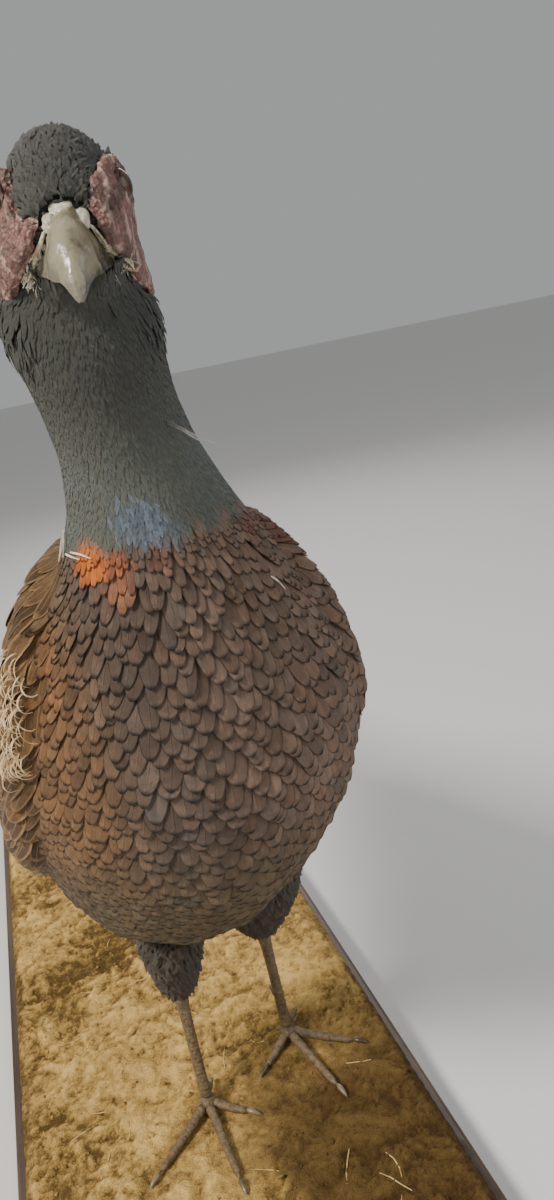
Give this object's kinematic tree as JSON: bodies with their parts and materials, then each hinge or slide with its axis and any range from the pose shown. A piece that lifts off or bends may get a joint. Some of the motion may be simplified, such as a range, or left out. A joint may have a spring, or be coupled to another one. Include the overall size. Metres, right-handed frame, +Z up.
{
  "type": "taxidermy cock pheasant on a base",
  "caption": "Still life-size taxidermy cock pheasant standing alert on an earth-covered board, neck raised, bill pointed slightly down, wings folded, long straight tail.",
  "frame": {"origin": "the middle of the base board's underside", "axes": "+Z up; the bird looks along -Y and its tail runs back along +Y; +X is the bird's left"},
  "size_m": [0.24, 0.7871, 0.4976],
  "materials": {
    "board": "dark stained and waxed",
    "earth": "sandy earth bound with glue",
    "body_feathers": "faded coppery brown feathers, each with a thin dark edge",
    "neck_feathers": "smooth faded green-black feathers with a blue gloss at the foot",
    "head_feathers": "short dark bushy feathers",
    "beak_horn": "pale ivory horn, slightly glossy",
    "glass_eye": "dark brown glass",
    "wattle_skin": "faded pink-red warty skin",
    "wing_feathers": "long brown feathers with pale streaks",
    "wing_quills": "stiff brown feathers with pale bars",
    "tail_feathers": "long olive-buff feathers with dark bars",
    "thigh_feathers": "dark shaggy grey-brown feathers",
    "leg_scales": "dry grey-brown scaled skin",
    "claw_horn": "dull horn"
  },
  "bodies": {
    "root": {"base_board": "board", "groundwork": "earth", "eye_right": "glass_eye", "wattle_right": "wattle_skin", "ear_tuft_right": "head_feathers", "eye_left": "glass_eye", "wattle_left": "wattle_skin", "ear_tuft_left": "head_feathers", "head": "head_feathers", "beak_upper": "beak_horn", "beak_lower": "beak_horn", "trunk": "body_feathers", "neck": "neck_feathers", "wing_right": "wing_feathers", "primaries_right": "wing_quills", "wing_left": "wing_feathers", "primaries_left": "wing_quills", "tail_feather_1_right": "tail_feathers", "tail_feather_1_left": "tail_feathers", "tail_feather_2_right": "tail_feathers", "tail_feather_2_left": "tail_feathers", "tail_feather_3_right": "tail_feathers", "tail_feather_3_left": "tail_feathers", "tail_feather_4_right": "tail_feathers", "tail_feather_4_left": "tail_feathers", "tail_feather_5_right": "tail_feathers", "tail_feather_5_left": "tail_feathers", "tail_feather_6_right": "tail_feathers", "tail_feather_6_left": "tail_feathers", "tail_coverts_upper": "tail_feathers", "tail_coverts_under": "tail_feathers", "thigh_right": "thigh_feathers", "shank_right": "leg_scales", "spur_right": "claw_horn", "toe_inner_right": "leg_scales", "claw_inner_right": "claw_horn", "toe_middle_right": "leg_scales", "claw_middle_right": "claw_horn", "toe_outer_right": "leg_scales", "claw_outer_right": "claw_horn", "toe_hind_right": "leg_scales", "claw_hind_right": "claw_horn", "thigh_left": "thigh_feathers", "shank_left": "leg_scales", "spur_left": "claw_horn", "toe_inner_left": "leg_scales", "claw_inner_left": "claw_horn", "toe_middle_left": "leg_scales", "claw_middle_left": "claw_horn", "toe_outer_left": "leg_scales", "claw_outer_left": "claw_horn", "toe_hind_left": "leg_scales", "claw_hind_left": "claw_horn"}
  },
  "joints": []
}
